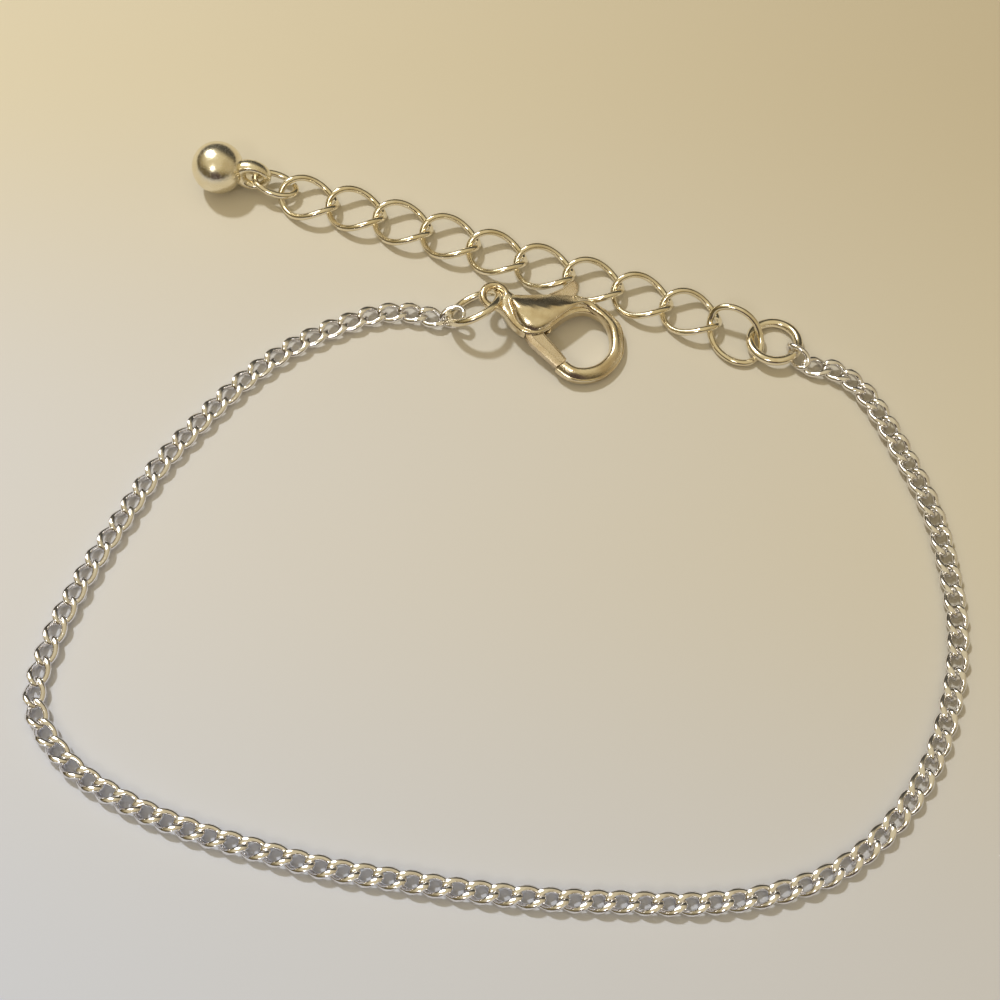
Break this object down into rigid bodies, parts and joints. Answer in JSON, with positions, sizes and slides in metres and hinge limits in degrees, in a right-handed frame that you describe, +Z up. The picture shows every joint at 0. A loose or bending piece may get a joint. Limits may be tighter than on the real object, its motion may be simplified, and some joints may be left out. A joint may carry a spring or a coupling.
{
  "type": "chain bracelet",
  "caption": "Fine curb chain bracelet lying open, with a lobster clasp, a ring and an extender of large links that ends in a small ball.",
  "frame": {"origin": "on the surface it lies on, under the middle of the whole bracelet as it lies", "axes": "+X across the loop from the bend by the clasp end to the other bend, +Y from the open run of fine chain towards the clasp and extender, +Z up"},
  "size_m": [0.0657, 0.0592, 0.004],
  "materials": {
    "fine_chain": "polished silver wire",
    "extender_links": "polished silver wire",
    "rings": "polished silver wire",
    "clasp_casting": "polished silver casting, slightly worn",
    "clasp_lever": "satin silver with fine marks",
    "clasp_pin": "plain",
    "end_ball": "mirror polished silver"
  },
  "bodies": {
    "bracelet": {"fine_chain": "fine_chain", "clasp_ring": "rings", "clasp_body": "clasp_casting", "clasp_pin": "clasp_pin", "extender_ring": "rings", "extender_link_01": "extender_links", "extender_link_02": "extender_links", "extender_link_03": "extender_links", "extender_link_04": "extender_links", "extender_link_05": "extender_links", "extender_link_06": "extender_links", "extender_link_07": "extender_links", "extender_link_08": "extender_links", "extender_link_09": "extender_links", "extender_link_10": "extender_links", "drop_ring": "rings", "end_ball": "end_ball"},
    "lever": {"clasp_lever": "clasp_lever"}
  },
  "joints": [
    {"name": "clasp_lever_hinge", "type": "hinge", "parent": "bracelet", "child": "lever", "pos_m": [0.00234, 0.01391, 0.00161], "axis": [0.1229, -0.0789, 0.9893], "range_deg": [0, 24], "stiffness_Nm_per_rad": 0.01, "springref_deg": -6.88}
  ]
}
